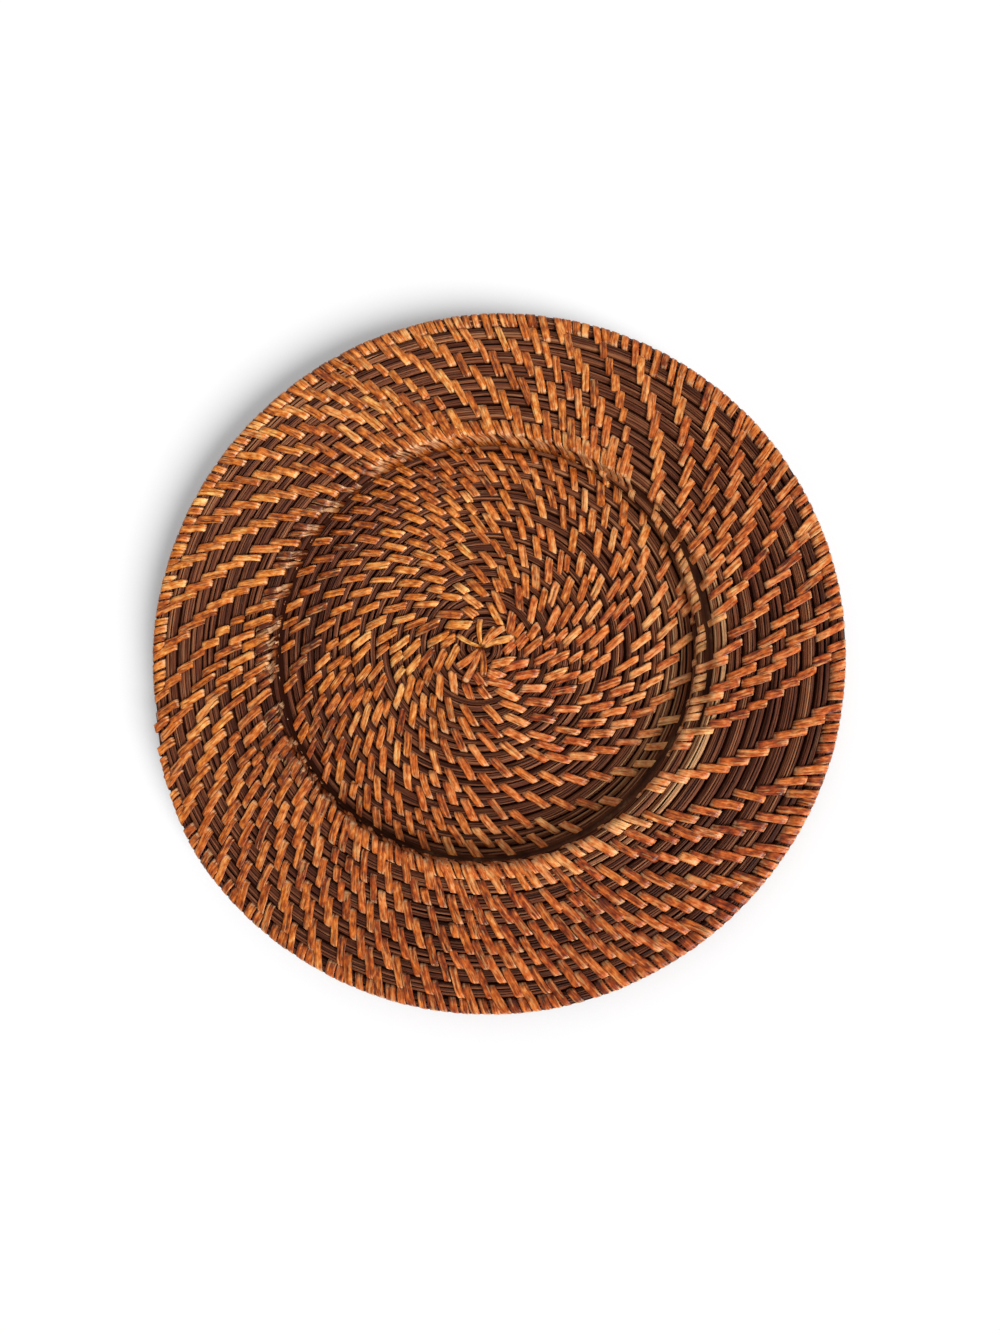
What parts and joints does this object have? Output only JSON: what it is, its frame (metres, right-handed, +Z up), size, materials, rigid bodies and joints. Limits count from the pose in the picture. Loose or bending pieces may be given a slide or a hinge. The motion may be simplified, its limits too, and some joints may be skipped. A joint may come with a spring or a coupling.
{
  "type": "charger plate",
  "caption": "Round charger plate of coiled rattan splints with a flat recessed well and a broad flat rim, each row lashed to the next with strips of cane.",
  "frame": {"origin": "on the table, under the middle of the plate's outline seen from above", "axes": "+Z up out of the well; +X and +Y lie in the table, and the coil's turns are counted clockwise from +X"},
  "size_m": [0.3271, 0.33, 0.0195],
  "materials": {
    "rattan_core": "matte bundle of split rattan, grey brown",
    "cane_strip": "glossy stained cane skin, amber brown"
  },
  "bodies": {
    "root": {"edge_lashing": "cane_strip", "edge_wraps": "cane_strip", "floor_coil": "rattan_core", "floor_lashing_01": "cane_strip", "floor_lashing_02": "cane_strip", "floor_lashing_03": "cane_strip", "floor_lashing_04": "cane_strip", "floor_lashing_05": "cane_strip", "floor_lashing_06": "cane_strip", "floor_lashing_07": "cane_strip", "floor_lashing_08": "cane_strip", "floor_lashing_09": "cane_strip", "floor_lashing_10": "cane_strip", "floor_lashing_11": "cane_strip", "floor_lashing_12": "cane_strip", "floor_lashing_13": "cane_strip", "floor_lashing_14": "cane_strip", "floor_lashing_15": "cane_strip", "hub_lashing": "cane_strip", "rim_coil": "rattan_core", "rim_lashing_01": "cane_strip", "rim_lashing_02": "cane_strip", "rim_lashing_03": "cane_strip", "rim_lashing_04": "cane_strip", "rim_lashing_05": "cane_strip", "rim_lashing_06": "cane_strip", "rim_lashing_07": "cane_strip", "rim_lashing_08": "cane_strip", "step_lashing": "cane_strip", "step_wraps": "cane_strip", "wall_coil": "rattan_core", "wall_lashing": "cane_strip"}
  },
  "joints": []
}
